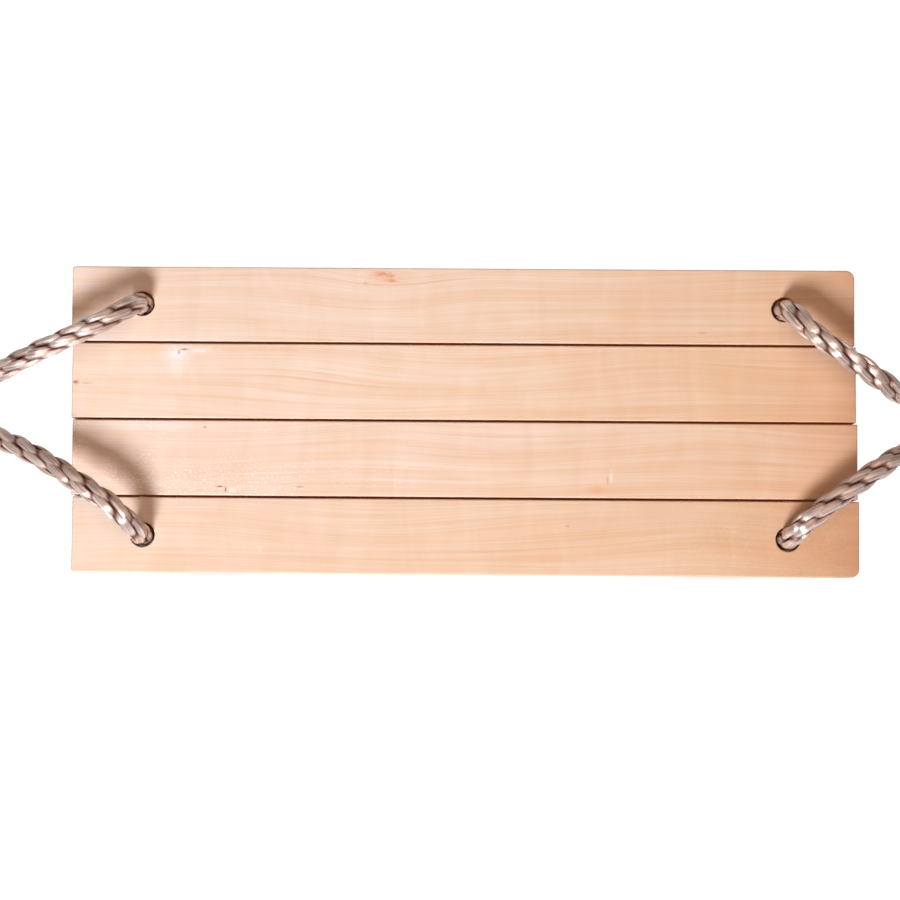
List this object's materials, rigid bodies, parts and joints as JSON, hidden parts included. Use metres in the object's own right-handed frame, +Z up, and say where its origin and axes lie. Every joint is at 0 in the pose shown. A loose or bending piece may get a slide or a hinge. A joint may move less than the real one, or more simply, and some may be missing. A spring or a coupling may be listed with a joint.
{
  "type": "rope swing seat",
  "caption": "Flat swing seat of wooden slats on cleats, with a braided rope threaded through the corner holes at each end, knotted, coiled and ended in a steel ring.",
  "frame": {"origin": "on the floor under the middle of the seat, whose cleats stand on it", "axes": "+X along the seat to its right end, +Y across it to the back, +Z up"},
  "size_m": [1.051, 0.1866, 0.0704],
  "materials": {
    "pine": "planed pale softwood, untreated, fine lengthwise grain",
    "cleat_pine": "planed pale softwood, untreated",
    "screw_steel": "yellow zinc plated",
    "rope": "braided polypropylene filament, beige, slightly glossy",
    "twine": "waxed whipping twine",
    "tie_tape": "woven black tape",
    "ring_steel": "zinc plated round steel"
  },
  "bodies": {
    "seat": {"front_slat": "pine", "front_middle_slat": "pine", "back_middle_slat": "pine", "back_slat": "pine", "left_cleat": "cleat_pine", "left_cleat_screws": "screw_steel", "left_rope_bridle": "rope", "left_rope_knot": "rope", "left_rope_fall": "rope", "left_rope_coil": "rope", "left_coil_tie": "tie_tape", "left_rope_eye": "rope", "left_eye_whipping": "twine", "right_cleat": "cleat_pine", "right_cleat_screws": "screw_steel", "right_rope_bridle": "rope", "right_rope_knot": "rope", "right_rope_fall": "rope", "right_rope_coil": "rope", "right_coil_tie": "tie_tape", "right_rope_eye": "rope", "right_eye_whipping": "twine"},
    "left_ring": {"left_hanging_ring": "ring_steel"},
    "right_ring": {"right_hanging_ring": "ring_steel"}
  },
  "joints": [
    {"name": "left_ring_swing", "type": "hinge", "parent": "seat", "child": "left_ring", "pos_m": [-0.43201, 0.07323, 0.0451], "axis": [-0.7071, -0.7071, 0], "range_deg": [0, 150]},
    {"name": "right_ring_swing", "type": "hinge", "parent": "seat", "child": "right_ring", "pos_m": [0.41601, 0.07323, 0.0451], "axis": [-0.7071, 0.7071, 0], "range_deg": [0, 150]}
  ]
}
